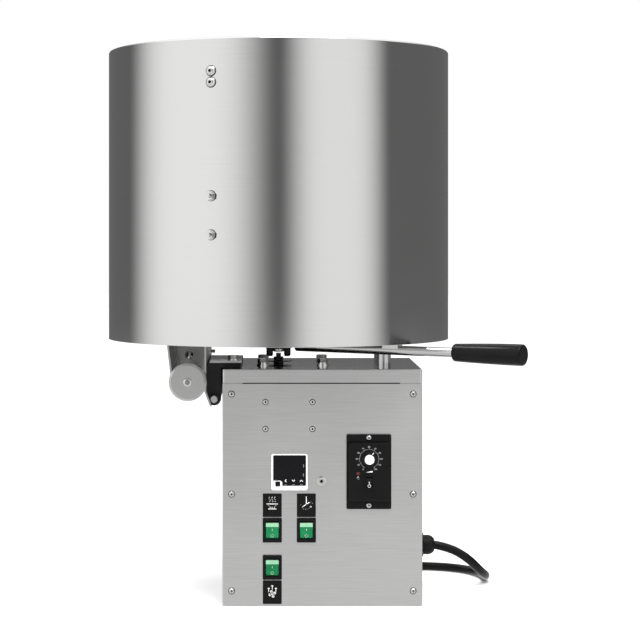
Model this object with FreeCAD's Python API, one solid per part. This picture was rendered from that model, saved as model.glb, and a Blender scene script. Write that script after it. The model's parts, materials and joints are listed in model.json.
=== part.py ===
"""Tilting-kettle nut roaster: an open heated drum hinged on a control cabinet.

Millimetres, +Z up, +X right, +Y away from the operator. The origin is the centre of the
cabinet's base, on the surface that it stands on.
"""
import FreeCAD, Part
import math
import os

V = FreeCAD.Vector
X_AXIS, Y_AXIS, Z_AXIS = V(1, 0, 0), V(0, 1, 0), V(0, 0, 1)

# Cabinet
CABINET_W, CABINET_D, CABINET_H = 267.0, 240.0, 316.0
SHEET = 1.5
COVER_SHEET = 2.0
COVER_SKIRT = 18.0
FLANGE = 21.5
SIDE_X = CABINET_W / 2
FRONT_Y = -CABINET_D / 2
REAR_Y = CABINET_D / 2
COVER_UNDERSIDE = CABINET_H - COVER_SHEET
PANEL_X = 132.5
PANEL_Z = (0.6, 296.5)
PANEL_SCREW_X, PANEL_SCREW_Z = 121.0, (20.5, 149.5, 283.0)
STUD = (-1.2, 167.0)

# Drum
DRUM_X = -58.5
DRUM_R, DRUM_SHEET = 236.0, 1.2
DRUM_Z = (351.5, 748.0)
BASE_T = 3.0
KETTLE_R, KETTLE_RIM_Z, KETTLE_FLOOR_Z, KETTLE_CORNER = 225.0, 470.0, 385.0, 45.0
KETTLE_T = 2.0
AGITATOR_SHAFT_R = 8.0
RUNNING = 0.05      # clearance round a turning shaft

# Wall fasteners, in one upright row: degrees to the left of the front
FASTENER_AZIMUTH = 21.5
SOCKET_Z, NUT_Z = (690.5, 705.0), (495.0, 545.0)
INNER_NUT_R, THREAD_R = 230.9, 3.2

# Hinge
PIN_X, PIN_Z, PIN_R = -145.4, 274.0, 5.0
EAR_X, EAR_Y = (-154.6, -136.0), (80.0, 86.0)
WALL_X, WALL_T = -155.5, 2.5
LIP_LEAN = 20.6
BRACKET_Y = (-104.0, 106.0)
FLANGE_T, CLAMP_T = 6.0, 3.0
HINGE_BOLT_X, HINGE_BOLT_Y = -119.6, 70.0
ROLLER_X, ROLLER_Z, ROLLER_R = -179.8, 298.6, 25.4
ROLLER_Y = (-122.0, -106.0)
BOLT_FLATS, BOLT_HEAD, BOLT_SHANK_R = 13.0, 5.4, 4.0

# Gear motor and coupling
GEARBOX_X, GEARBOX_SIZE = -38.7, 104.0
GEARBOX_Z, MOTOR_Z = 262.0, 130.0
MOTOR_BOLT_OFFSET = 41.2
SHAFT_R = 6.75
JAW_OFFSET, JAW_R, JAW_Z = 12.0, 5.0, 326.0
BLADE_TOP = 330.0

# Handle
HANDLE_ANGLE, HANDLE_Z, ROD_R = -34.0, 340.4, 6.35
GRIP_START, GRIP_END = 279.0, 380.0

# Controls on the front panel
SWITCH_COLUMN = {"heat": (-66.8, 101.6), "mixer": (-21.4, 101.6), "fan": (-66.8, 52.0)}
SWITCH_W, SWITCH_H = 25.4, 32.6
ROCKER_W, ROCKER_H, ROCKER_TILT = 17.0, 20.4, 10.0
ROCKER_DEPTH, MINI_DEPTH = 9.0, 6.0
LABEL_Z = {"heat": (119.1, 150.3), "mixer": (119.1, 150.3), "fan": (3.2, 34.5)}
THERMOSTAT_X, THERMOSTAT_Z, THERMOSTAT = -43.9, 179.35, 48.0
KEYS = {"set_key": (-59.5, 163.6, 6.0), "shift_key": (-49.3, 168.0, 4.8),
        "down_key": (-38.7, 168.0, 4.8), "up_key": (-28.1, 168.0, 4.8)}
KEY_GAP = 0.25
SCOOP_X, SCOOP_Z, SCOOP_R = (-70.0, -53.4), (155.0, 168.2), 3.5
WINDOW_X, WINDOW_Z = (-65.6, -21.9), (161.2, 201.8)
SPEED_X, SPEED_Z = 61.9, 179.65
SPEED_FACE_Y = -130.0
KNOB = (61.9, 197.6)
LAMP = (47.3, 178.2)
MINI_SWITCH = (62.0, 166.3)

# Rear fan
FAN_X, FAN_Z, FAN_SIZE, FAN_DEPTH = 60.0, 90.0, 80.0, 25.0

# Power cord: route from the gland to the coil, the coil, and the tail to the plug
CORD_R = 6.0
GLAND_Y, GLAND_Z, GLAND_END_X = 0.0, 62.8, 158.5
CORD_ROUTE = [(158.5, 0, 62.6), (180, 0, 58.8), (206, 4, 43.5), (227, 24, 21), (240, 60, 7),
              (232, 108, 6), (196, 146, 6), (140, 158, 6), (74, 142, 6), (8, 140, 6)]
COIL_X, COIL_Y, COIL_MID_R = 0.0, 212.0, 66.0
TAIL_ROUTE = [(-12, 146, 18.2), (-34, 146.5, 17.6), (-57, 146, 12.4)]
PLUG_X = (-57.0, -114.0)


def box(x, y, z):
    """Box from three (low, high) pairs."""
    return Part.makeBox(x[1] - x[0], y[1] - y[0], z[1] - z[0], V(x[0], y[0], z[0]))


def span(centre, size):
    """(low, high) of a length centred on a value."""
    return centre - size / 2, centre + size / 2


def disc(radius, base, axis, length):
    """Cylinder from a base point along an axis."""
    return Part.makeCylinder(radius, length, V(*base), axis)


def ring(outer, inner, base, axis, length):
    """Tube from a base point along an axis."""
    return disc(outer, base, axis, length).cut(disc(inner, base, axis, length))


def placed(solid, base, axis):
    """The solid, made along +Z at the origin, moved to a base point and axis."""
    solid.Placement = FreeCAD.Placement(V(*base), FreeCAD.Rotation(Z_AXIS, axis))
    return solid


def turned(profile, base=(0, 0, 0), axis=Z_AXIS):
    """Solid of revolution of (radius, height) points; a pair of points is an arc's middle and end."""
    here, edges = profile[0], []
    for item in profile[1:] + profile[:1]:
        if isinstance(item[0], tuple):
            middle, end = item
            edges.append(Part.Arc(V(here[0], 0, here[1]), V(middle[0], 0, middle[1]),
                                  V(end[0], 0, end[1])).toShape())
        else:
            end = item
            edges.append(Part.makeLine(V(here[0], 0, here[1]), V(end[0], 0, end[1])))
        here = end
    solid = Part.Face(Part.Wire(edges)).revolve(V(0, 0, 0), Z_AXIS, 360)
    return placed(solid, base, axis)


def hexagon(across_flats, base, axis, length):
    """Hexagonal prism from a base point along an axis."""
    corner = across_flats / math.sqrt(3)
    points = [V(corner * math.cos(math.radians(60 * i)), corner * math.sin(math.radians(60 * i)), 0)
              for i in range(7)]
    return placed(Part.Face(Part.makePolygon(points)).extrude(V(0, 0, length)), base, axis)


def plate_xz(points, y):
    """Plate with an outline in the XZ plane, between two Y values."""
    outline = [V(px, y[0], pz) for px, pz in points]
    return Part.Face(Part.makePolygon(outline + outline[:1])).extrude(V(0, y[1] - y[0], 0))


def rounded(solid, radius, axis):
    """The solid with every straight edge parallel to an axis rounded."""
    edges = [e for e in solid.Edges if isinstance(e.Curve, Part.Line)
             and abs(e.Curve.Direction.dot(axis)) > 0.999]
    return solid.makeFillet(radius, edges)


def merged(first, *others):
    """One solid from several that meet."""
    return first.multiFuse(list(others)).removeSplitter()


def turned_about(solid, point, axis, degrees):
    """The solid rotated about a point and axis."""
    solid.rotate(V(*point), axis, degrees)
    return solid


def save(node, *shapes):
    """Write one sub-part."""
    shape = shapes[0] if len(shapes) == 1 else Part.makeCompound(list(shapes))
    shape.exportStep("parts/" + node + ".step")
    for solid in shape.Solids:
        if not solid.isValid() or solid.Volume <= 0:
            print("CHECK", node)


# ---------------------------------------------------------------- fasteners

def pan_screw(x, z, face_y, radius=4.0, shank=2.0, length=8.0, into=1):
    """Cross-recess pan head on a vertical face; into is +1 for the front, -1 for the rear."""
    height = 2.4
    dome = ((radius * 0.86, height * 0.5), (radius * 0.35, height))
    head = turned([(0, -1), (radius, -1), dome, (0, height)],
                  (x, face_y, z), V(0, -into, 0))
    head = head.cut(disc(radius + 1, (x, face_y, z), V(0, into, 0), 2))
    out = face_y - into * height
    for wide, tall in ((0.9, 4.2), (4.2, 0.9)):
        slot = box(span(x, wide), sorted((out, out + into * 1.1)), span(z, tall))
        head = head.cut(slot)
    return merged(head, disc(shank, (x, face_y, z), V(0, into, 0), length))


def button_screw(x, z, face_y, radius=3.5, length=9.0):
    """Button head with a hexagonal socket on the front face."""
    head = turned([(0, 0), (radius, 0), ((radius * 0.8, 1.3), (radius * 0.45, 1.9)), (0, 1.9)],
                  (x, face_y, z), V(0, -1, 0))
    head = head.cut(hexagon(2.4, (x, face_y - 2.5, z), Y_AXIS, 1.6))
    return merged(head, disc(1.9, (x, face_y, z), Y_AXIS, length))


def hex_bolt(x, y, seat_z, length, washers):
    """Hex bolt with its shank going down, on washers given as (radius, thickness)."""
    head_z, pieces = seat_z, []
    for radius, thickness in washers:
        pieces.append(disc(radius, (x, y, head_z), Z_AXIS, thickness))
        head_z += thickness
    return merged(hexagon(BOLT_FLATS, (x, y, head_z), Z_AXIS, BOLT_HEAD), *pieces,
                  disc(BOLT_SHANK_R, (x, y, seat_z - length), Z_AXIS, length + head_z - seat_z))


def panel_screws():
    """Front and rear panel screws, and the two on the speed control."""
    screws = []
    for x in (-PANEL_SCREW_X, PANEL_SCREW_X):
        for z in PANEL_SCREW_Z:
            screws.append(pan_screw(x, z, FRONT_Y))
            screws.append(pan_screw(x, z, REAR_Y, into=-1))
    for z in (135.2, 224.6):
        screws.append(pan_screw(SPEED_X, z, FRONT_Y - 3.0, length=12.0))
    return screws


def socket_screws():
    """Four small screws that hold the relay, and the flanged earth stud."""
    screws = [button_screw(x, z, FRONT_Y) for x in (-75.8, -13.2) for z in (236.3, 272.3)]
    base = (STUD[0], FRONT_Y, STUD[1])
    stud = turned([(0, 0), (6, 0), (6, 1.2), (4.6, 1.6), (4.2, 4.0), (0, 4.0)], base, V(0, -1, 0))
    stud = stud.cut(hexagon(4.0, (STUD[0], FRONT_Y - 5, STUD[1]), Y_AXIS, 3.2))
    screws.append(merged(stud, disc(2.9, base, Y_AXIS, 16)))
    return screws


# ---------------------------------------------------------------- cabinet

def cabinet_body():
    """Folded box: base, two sides, flanges at the front and rear, and a welded top frame."""
    depth = CABINET_D / 2 - SHEET
    outer = rounded(box((-SIDE_X, SIDE_X), (-depth, depth), (0, 297)), 2.0, Z_AXIS)
    inner = box((-SIDE_X + SHEET, SIDE_X - SHEET), (-depth + SHEET, depth - SHEET), (SHEET, 298))
    opening = box((-SIDE_X + FLANGE, SIDE_X - FLANGE), (-130, 130), (FLANGE, 298))
    frame_x, frame_y = SIDE_X - COVER_SHEET, CABINET_D / 2 - COVER_SHEET
    rail = box((-frame_x, frame_x), (-frame_y, frame_y), (283, COVER_UNDERSIDE))
    rail = rail.cut(box((-frame_x + 2, frame_x - 2), (-frame_y + 2, frame_y - 2), (282, COVER_UNDERSIDE - 2)))
    rail = rail.cut(box((-112, 112), (-98, 98), (282, 330)))
    return merged(outer.cut(inner).cut(opening), rail)


def top_cover():
    """Pan with a folded skirt; the drum's posts, hinge and gearbox are bolted through it."""
    low = CABINET_H - COVER_SKIRT
    outer = rounded(box((-SIDE_X, SIDE_X), (FRONT_Y, REAR_Y), (low, CABINET_H)), 3.0, Z_AXIS)
    top_edges = [e for e in outer.Edges if e.BoundBox.ZMin > CABINET_H - 0.01]
    outer = outer.makeFillet(1.6, top_edges)
    inner = box((-SIDE_X + COVER_SHEET, SIDE_X - COVER_SHEET),
                (FRONT_Y + COVER_SHEET, REAR_Y - COVER_SHEET), (low - 1, COVER_UNDERSIDE))
    return outer.cut(inner).cut(disc(9.0, (DRUM_X, 0, 300), Z_AXIS, 30))


def panel(y):
    """Flat plate with rounded corners that closes the front or the rear."""
    return rounded(box((-PANEL_X, PANEL_X), y, PANEL_Z), 4.0, Y_AXIS)


def front_panel():
    """Front plate with the cut-outs for the controls."""
    plate = panel((FRONT_Y, FRONT_Y + SHEET))
    depth = (FRONT_Y - 1, FRONT_Y + SHEET + 1)
    for x, z in SWITCH_COLUMN.values():
        plate = plate.cut(box(span(x, 21), depth, span(z, 27)))
    plate = plate.cut(box(span(THERMOSTAT_X, 45), depth, span(THERMOSTAT_Z, 45)))
    return plate.cut(box(span(SPEED_X, 50), depth, span(SPEED_Z, 74)))


def rear_panel():
    """Rear plate with the fan's round opening and a bank of vent slots."""
    plate = panel((REAR_Y - SHEET, REAR_Y))
    plate = plate.cut(disc(38.0, (FAN_X, REAR_Y - 5, FAN_Z), Y_AXIS, 10))
    for row in range(7):
        z = 178 + 12 * row
        slot = rounded(box((-80, 80), (REAR_Y - 5, REAR_Y + 5), (z, z + 4)), 1.9, Y_AXIS)
        plate = plate.cut(slot)
    return plate


# ---------------------------------------------------------------- inside the cabinet

def gearbox():
    """Spur gearbox under the cover, its output shaft off centre, on the drum's axis."""
    x = span(GEARBOX_X, GEARBOX_SIZE)
    body = rounded(box(x, span(0, GEARBOX_SIZE), (GEARBOX_Z, COVER_UNDERSIDE)), 10.0, Z_AXIS)
    return body.cut(disc(SHAFT_R + RUNNING, (DRUM_X, 0, 288), Z_AXIS, 40))


def motor():
    """Finned induction motor hanging from the gearbox, with a domed end cap."""
    steps = [(0, MOTOR_Z), (44, MOTOR_Z), (48, MOTOR_Z + 4), (48, MOTOR_Z + 24), (50, MOTOR_Z + 24),
             (50, GEARBOX_Z), (0, GEARBOX_Z)]
    return turned(steps, (GEARBOX_X, 0, 0))


def power_relay():
    """Relay on a bracket behind the front panel, held by the four socket screws."""
    back = FRONT_Y + SHEET
    bracket = box((-82, -7), (back, back + 2), (230, 279))
    return merged(bracket, box((-70, -19), (back + 2, back + 32), (236, 272)))


def solid_state_relay():
    """Heater relay on a finned heat sink that stands on the base."""
    sink = box((-104, -34), (34, 100), (SHEET, 8))
    fins = [box((-104 + 10 * i, -101 + 10 * i), (34, 100), (8, 26)) for i in range(7)]
    return merged(sink, box((-104, -41), (34, 100), (26, 29)), box((-92, -47), (44, 90), (29, 52)), *fins)


def motor_capacitor():
    """Run capacitor standing on the base."""
    return turned([(0, SHEET), (20, SHEET), (20, 66), (17, 69), (0, 69)], (60, 30, 0))


def terminal_block():
    """Row of screw terminals on the base."""
    block = box((40, 120), (-96, -66), (SHEET, 22))
    for i in range(6):
        block = block.cut(disc(3.4, (48 + 13 * i, -81, 12), Z_AXIS, 20))
    return block


# ---------------------------------------------------------------- drive

def output_shaft():
    """Gearbox shaft with its slinger disc and the flat driver blade."""
    axis_x = DRUM_X
    blade = box(span(axis_x, 7), span(0, 32), (322, BLADE_TOP))
    return merged(disc(SHAFT_R, (axis_x, 0, 290), Z_AXIS, 325.4 - 290),
                  turned([(0, 317.2), (19, 319.2), (19, 320.2), (0, 320.2)], (axis_x, 0, 0)), blade)


def agitator_coupling():
    """Hub under the drum with two round-ended jaws that straddle the driver blade."""
    hub = ring(18, AGITATOR_SHAFT_R, (DRUM_X, 0, 337), Z_AXIS, 11)
    jaws = []
    for side in (-1, 1):
        jaws.append(turned([(0, JAW_Z), (2.5, JAW_Z), ((4.3, JAW_Z + 1.1), (JAW_R, JAW_Z + 3.2)),
                            (JAW_R, 338), (0, 338)], (DRUM_X + side * JAW_OFFSET, 0, 0)))
    return merged(hub, *jaws).cut(disc(AGITATOR_SHAFT_R, (DRUM_X, 0, 320), Z_AXIS, 60))


def agitator():
    """Shaft and two sloped mixing arms with upright end paddles."""
    floor = KETTLE_FLOOR_Z + KETTLE_T
    shaft = turned([(0, 332.5), (AGITATOR_SHAFT_R - 1, 332.5), (AGITATOR_SHAFT_R, 334),
                    (AGITATOR_SHAFT_R, 440), (0, 440)], (DRUM_X, 0, 0))
    hub = turned([(0, floor + 4), (24, floor + 4), (24, floor + 30), (15, floor + 52), (0, floor + 56)],
                 (DRUM_X, 0, 0))
    pieces = [hub]
    for turn in (0, 180):
        arm = box((15, 190), (-2, 2), (-13, 13))
        arm.rotate(V(0, 0, 0), X_AXIS, 35)
        arm.translate(V(0, 0, floor + 16))
        paddle = turned_about(box((186, 191), (-16, 16), (floor + 5, 452)), (188, 0, 0), Z_AXIS, 25)
        blade = arm.fuse(paddle)
        blade.rotate(V(0, 0, 0), Z_AXIS, turn + 40)
        blade.translate(V(DRUM_X, 0, 0))
        pieces.append(blade)
    return merged(shaft, *pieces)


# ---------------------------------------------------------------- drum

def drum_shell():
    """Rolled sheet cylinder with an inward bead at its rim."""
    low, high = DRUM_Z
    inner, bead = DRUM_R - DRUM_SHEET, 2.5
    mid, top = DRUM_R - bead, high - bead
    slant = bead * math.sqrt(0.5)
    return turned([(DRUM_R, low), (DRUM_R, top), ((mid + slant, top + slant), (mid, high)),
                   ((mid - slant, top + slant), (mid - bead, top)),
                   ((mid - slant, top - slant), (mid, top - bead)),
                   (inner, top - bead), (inner, low)], (DRUM_X, 0, 0))


def drum_base_plate():
    """Disc that closes the drum and carries the hinge bracket, handle and bearing."""
    plate = disc(DRUM_R - DRUM_SHEET, (DRUM_X, 0, DRUM_Z[0]), Z_AXIS, BASE_T)
    return plate.cut(disc(17, (DRUM_X, 0, 340), Z_AXIS, 30))


def kettle_bowl():
    """Pressed cooking bowl, flanged out to the shell at its rim."""
    outer, inner, rim = KETTLE_R, KETTLE_R - KETTLE_T, KETTLE_RIM_Z
    low, floor, corner = KETTLE_FLOOR_Z, KETTLE_FLOOR_Z + KETTLE_T, KETTLE_CORNER
    slant = corner * math.sqrt(0.5)
    inner_corner = corner - KETTLE_T
    inner_slant = inner_corner * math.sqrt(0.5)
    centre_r, centre_z = outer - corner, low + corner
    return turned([(17, low), (centre_r, low), ((centre_r + slant, centre_z - slant), (outer, centre_z)),
                   (outer, rim - KETTLE_T), (DRUM_R - DRUM_SHEET, rim - KETTLE_T), (DRUM_R - DRUM_SHEET, rim),
                   (inner, rim), (inner, centre_z),
                   ((centre_r + inner_slant, centre_z - inner_slant), (centre_r, floor)), (17, floor)],
                  (DRUM_X, 0, 0))


def insulation():
    """Mineral-wool pad under the heater."""
    return turned([(36, 361), (232, 361), (232, 374), (36, 374)], (DRUM_X, 0, 0))


def heater_plate():
    """Ring-shaped heating plate clamped under the bowl."""
    return turned([(40, 376), (172, 376), (172, 385), (40, 385)], (DRUM_X, 0, 0))


def agitator_bearing():
    """Flanged bearing tube that carries the agitator shaft through the drum's base."""
    low = DRUM_Z[0]
    bore = AGITATOR_SHAFT_R + RUNNING
    return turned([(bore, low), (17, low), (17, low + BASE_T), (34, low + BASE_T), (34, low + BASE_T + 6),
                   (17, low + BASE_T + 6), (17, 388.5), (bore, 388.5)], (DRUM_X, 0, 0))


def outward():
    """Unit vector from the drum's axis towards its row of wall fasteners."""
    turn = math.radians(FASTENER_AZIMUTH)
    return V(-math.sin(turn), -math.cos(turn), 0)


def on_wall(radius, z):
    """Point at a radius from the drum's axis, on the row of wall fasteners."""
    point = V(DRUM_X, 0, z) + outward() * radius
    return point.x, point.y, point.z


def wall_fasteners():
    """Two dome-head socket screws above and two nuts on thread ends below."""
    out, back = outward(), outward() * -1
    pieces = []
    for z in SOCKET_Z:
        head = turned([(0, -0.2), (6.4, -0.2), ((5.3, 3.1), (2.4, 4.4)), (0, 4.4)], on_wall(DRUM_R, z), out)
        head = head.cut(hexagon(4.0, on_wall(DRUM_R + 5, z), back, 2.8))
        pieces.append(merged(head, disc(THREAD_R, on_wall(DRUM_R, z), back, 10),
                             hexagon(10, on_wall(INNER_NUT_R, z), back, 4)))
    for z in NUT_Z:
        pieces.append(merged(disc(6.6, on_wall(DRUM_R - 0.2, z), out, 1.6),
                             hexagon(10.5, on_wall(DRUM_R + 1.4, z), out, 5.8),
                             disc(THREAD_R, on_wall(DRUM_R + 12.0, z), back, 23),
                             disc(5.4, on_wall(INNER_NUT_R, z), back, 3)))
    return pieces


def wall_baffle():
    """Flat strip up the inside of the wall that turns the batch over."""
    strip = box((-11, 11), (-234.2, -231.0), (484, 716))
    strip = turned_about(strip, (0, 0, 0), Z_AXIS, -FASTENER_AZIMUTH)
    strip.translate(V(DRUM_X, 0, 0))
    return strip


# ---------------------------------------------------------------- hinge

def hinge_bracket():
    """Flange on the cover with two ears that hang down beside the cabinet."""
    flange = box((-153.5, -109.5), (-86, 86), (CABINET_H, CABINET_H + FLANGE_T))
    pieces = []
    ear_r = (EAR_X[1] - EAR_X[0]) / 2
    ear_mid = (EAR_X[0] + EAR_X[1]) / 2
    for y in ((-EAR_Y[1], -EAR_Y[0]), EAR_Y):
        pieces.append(box(EAR_X, y, (PIN_Z, CABINET_H + FLANGE_T)))
        pieces.append(disc(ear_r, (ear_mid, y[0], PIN_Z), Y_AXIS, y[1] - y[0]))
    countersink = disc(4, (HINGE_BOLT_X, HINGE_BOLT_Y, CABINET_H + 3), Z_AXIS, FLANGE_T)
    return merged(flange, *pieces).cut(disc(PIN_R, (PIN_X, -120, PIN_Z), Y_AXIS, 240)).cut(countersink)


def hinge_pin():
    """Pin through both ears, chamfered at its ends."""
    half = 97.0
    return turned([(0, -half), (PIN_R - 0.8, -half), (PIN_R, -half + 0.8), (PIN_R, half - 0.8),
                   (PIN_R - 0.8, half), (0, half)], (PIN_X, 0, PIN_Z), Y_AXIS)


def hinge_clamps():
    """Slotted bearer strip on the front of the hinge flange, under its bolt."""
    y = (-HINGE_BOLT_Y - 14, -HINGE_BOLT_Y + 14)
    plate = box((-151, -108.5), y, (CABINET_H + FLANGE_T, CABINET_H + FLANGE_T + CLAMP_T))
    return plate.cut(rounded(box((-148, -136), span(-HINGE_BOLT_Y, 8), (300, 340)), 3.9, Z_AXIS))


def hinge_bolts():
    """Hex bolt in front and countersunk screw behind that hold the hinge, with nuts under the cover frame."""
    nuts = [hexagon(BOLT_FLATS, (HINGE_BOLT_X, y, 305), Z_AXIS, 7) for y in (-HINGE_BOLT_Y, HINGE_BOLT_Y)]
    bolt = hex_bolt(HINGE_BOLT_X, -HINGE_BOLT_Y, CABINET_H + FLANGE_T + CLAMP_T, 26.5, ((8.0, 1.4),))
    flush = turned([(0, -24), (BOLT_SHANK_R, -24), (BOLT_SHANK_R, -4.5), (8, -0.5), (8, 0), (0, 0)],
                   (HINGE_BOLT_X, HINGE_BOLT_Y, CABINET_H + FLANGE_T))
    flush = flush.cut(hexagon(5.0, (HINGE_BOLT_X, HINGE_BOLT_Y, CABINET_H + FLANGE_T - 2.5), Z_AXIS, 3))
    return [merged(bolt, nuts[0]), merged(flush, nuts[1])]


def lip_point(along, out):
    """Point near the pin, measured along and square to the leaning lip of the tilting bracket."""
    lean = math.radians(LIP_LEAN)
    return (PIN_X + along * math.sin(lean) - out * math.cos(lean),
            PIN_Z - along * math.cos(lean) - out * math.sin(lean))


def wall_meets_lip(x, out):
    """Height where a face of the upright wall meets the same face of the lip."""
    start = lip_point(0, out)
    return start[1] - (x - start[0]) / math.tan(math.radians(LIP_LEAN))




def tilt_bracket():
    """Folded channel under the drum: two walls, a rear web, a top plate, the hinge lip and barrel."""
    top, low = DRUM_Z[0], 292.0
    inner, outer = 5.6, 5.6 + WALL_T
    lip_end = 7.0
    right = plate_xz([(WALL_X, top), (WALL_X, wall_meets_lip(WALL_X, inner)), lip_point(lip_end, inner),
                      lip_point(lip_end, outer), (WALL_X - WALL_T, wall_meets_lip(WALL_X - WALL_T, outer)),
                      (WALL_X - WALL_T, top)], BRACKET_Y)
    for y in ((-EAR_Y[1] - 1, -EAR_Y[0] + 1), (EAR_Y[0] - 1, EAR_Y[1] + 1)):
        right = right.cut(box((WALL_X - 0.5, PIN_X + 10), y, (255, 300)))
        right = right.cut(box((WALL_X - 6, PIN_X + 10), y, (255, PIN_Z + 8)))
    left = plate_xz([(-208.8, top), (-206.3, top), (-199.3, low), (-201.8, low)], BRACKET_Y)
    web = plate_xz([(-208.8, top), (WALL_X, top), (WALL_X, low), (-201.8, low)],
                   (BRACKET_Y[1] - WALL_T, BRACKET_Y[1]))
    plate = box((-208.8, WALL_X), BRACKET_Y, (top - WALL_T, top))
    barrel = disc(8.0, (PIN_X, -78, PIN_Z), Y_AXIS, 156)
    axle = disc(10.0, (ROLLER_X, ROLLER_Y[1], ROLLER_Z), Y_AXIS, BRACKET_Y[1] - ROLLER_Y[1])
    channel = merged(right, left, web, plate, barrel, axle)
    return channel.cut(disc(PIN_R + RUNNING, (PIN_X, -120, PIN_Z), Y_AXIS, 240))


def stop_roller():
    """Bumper disc that meets the cabinet's side when the drum is fully tipped."""
    length = ROLLER_Y[1] - ROLLER_Y[0]
    return turned([(0, 0), (ROLLER_R - 3, 0), (ROLLER_R, 3), (ROLLER_R, length - 1), (ROLLER_R - 1, length),
                   (0, length)], (ROLLER_X, ROLLER_Y[0], ROLLER_Z), Y_AXIS)


def bracket_fasteners():
    """Roller screw, the acorn nut and bolt on the rear web, and the small screw in the right wall."""
    web = BRACKET_Y[1] - WALL_T
    roller = turned([(0, 0), (6.0, 0), (6.0, 1.0), ((5.0, 2.6), (3.4, 3.2)), (0, 3.2)],
                    (ROLLER_X, ROLLER_Y[0], ROLLER_Z), V(0, -1, 0))
    roller = roller.cut(hexagon(4.0, (ROLLER_X, ROLLER_Y[0] - 4, ROLLER_Z), Y_AXIS, 2.4))
    roller = merged(roller, disc(3.0, (ROLLER_X, ROLLER_Y[0], ROLLER_Z), Y_AXIS, 34))
    seat = (-187.3, web, 321.7)
    dome = turned([(0, 0), (5.6, 0), ((4.4, 4.2), (0, 6.2))], (seat[0], web - 6.4, seat[2]), V(0, -1, 0))
    acorn = merged(disc(7.6, seat, V(0, -1, 0), 1.4),
                   hexagon(12, (seat[0], web - 1.4, seat[2]), V(0, -1, 0), 5.0),
                   dome, disc(3.8, seat, Y_AXIS, 8), hexagon(12, (seat[0], BRACKET_Y[1], seat[2]), Y_AXIS, 5))
    small = disc(2.6, (WALL_X - 6, 91, 327.5), X_AXIS, 11.5)
    return [roller, acorn, small]


def support_posts():
    """Two chromed posts that carry the drum's right side."""
    return [merged(turned([(0, CABINET_H), (10, CABINET_H), (10, 350.4), (9, 351.4), (0, 351.4)], (86, y, 0)),
                   disc(4, (86, y, 300), Z_AXIS, 20)) for y in (-40, 22)]


# ---------------------------------------------------------------- handle

def along_handle(solid):
    """The solid, made along +X from the drum's axis, swung to the handle's direction."""
    solid.rotate(V(0, 0, 0), Z_AXIS, HANDLE_ANGLE)
    solid.translate(V(DRUM_X, 0, 0))
    return solid


def handle_rod():
    """Straight chromed rod, its outer end inside the grip."""
    return along_handle(disc(ROD_R, (30, 0, HANDLE_Z), X_AXIS, 338))


def handle_saddles():
    """Two narrow blocks that join the rod to the drum's base."""
    blocks = [box((start, start + 24), (-6, 6), (HANDLE_Z, DRUM_Z[0])) for start in (52, 172)]
    rod = disc(ROD_R, (20, 0, HANDLE_Z), X_AXIS, 300)
    return [along_handle(block.cut(rod)) for block in blocks]


def handle_grip():
    """Moulded grip that swells towards its flat end."""
    length = GRIP_END - GRIP_START
    grip = turned([(ROD_R, 0), (9.6, 0), ((11.1, 0.9), (11.7, 2.6)), ((12.7, 40), (14.0, length - 4)),
                   ((13.6, length - 1.2), (12.6, length)), (0, length), (0, 368 - GRIP_START),
                   (ROD_R, 368 - GRIP_START)], (GRIP_START, 0, HANDLE_Z), X_AXIS)
    return along_handle(grip)


# ---------------------------------------------------------------- switches

def rocker_shape(x, z, face_y, width, height, depth):
    """Rocker tilted to its off position: the upper half stands out."""
    pivot = (x, face_y + depth * 0.55, z)
    half = height / 2
    profile = ((-0.28, 1), (-0.1, 0), (-0.28, -1), (0.6, -0.86), (1, 0), (0.6, 0.86))
    outline = [V(x - width / 2, face_y + depth * back, z + half * up) for back, up in profile]
    body = Part.Face(Part.makePolygon(outline + outline[:1])).extrude(V(width, 0, 0))
    axle = disc(depth * 0.16, (x - width / 2 - 1.4, pivot[1], z), X_AXIS, width + 2.8)
    return turned_about(merged(body, axle), pivot, X_AXIS, ROCKER_TILT)


def switch_shell(x, z, face_y, bezel, opening, body, proud, depth, axle_depth):
    """Switch housing: a bezel in front of the face, a body behind it and the rocker's well."""
    front = face_y - proud
    shell = merged(rounded(box(span(x, bezel[0]), (front, face_y), span(z, bezel[1])), 1.2, Y_AXIS),
                   box(span(x, body[0]), (face_y, face_y + depth), span(z, body[1])))
    well = box(span(x, opening[0]), (front - 1, face_y + depth - 2), span(z, opening[1]))
    axle = disc(axle_depth * 0.16 + RUNNING, (x - opening[0] / 2 - 1.5, face_y + axle_depth * 0.55, z),
                X_AXIS, opening[0] + 3.0)
    return shell.cut(well).cut(axle)


def switch_housings():
    """The three main switches' housings."""
    return [switch_shell(x, z, FRONT_Y, (SWITCH_W, SWITCH_H), (ROCKER_W + 0.6, 23.8), (20.8, 26.8), 2.0, 24.0,
                         ROCKER_DEPTH) for x, z in SWITCH_COLUMN.values()]


def mini_switch_housing():
    """The speed control's own small switch."""
    return switch_shell(*MINI_SWITCH, SPEED_FACE_Y, (14.0, 19.4), (9.6, 14.6), (12.6, 17.0), 1.4, 14.0,
                        MINI_DEPTH)


def label_plates():
    """Black symbol plates beside the three main switches."""
    plates = []
    for name, (x, _) in SWITCH_COLUMN.items():
        plate = box(span(x, SWITCH_W - 0.2), (FRONT_Y - 0.8, FRONT_Y), LABEL_Z[name])
        plates.append(rounded(plate, 1.0, Y_AXIS))
    return plates


# ---------------------------------------------------------------- temperature control

def key_well(x, z, size):
    """Space that a key slides in."""
    opening = size + 2 * KEY_GAP
    return box(span(x, opening), (FRONT_Y - 8, FRONT_Y + 3.5), span(z, opening))


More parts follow.
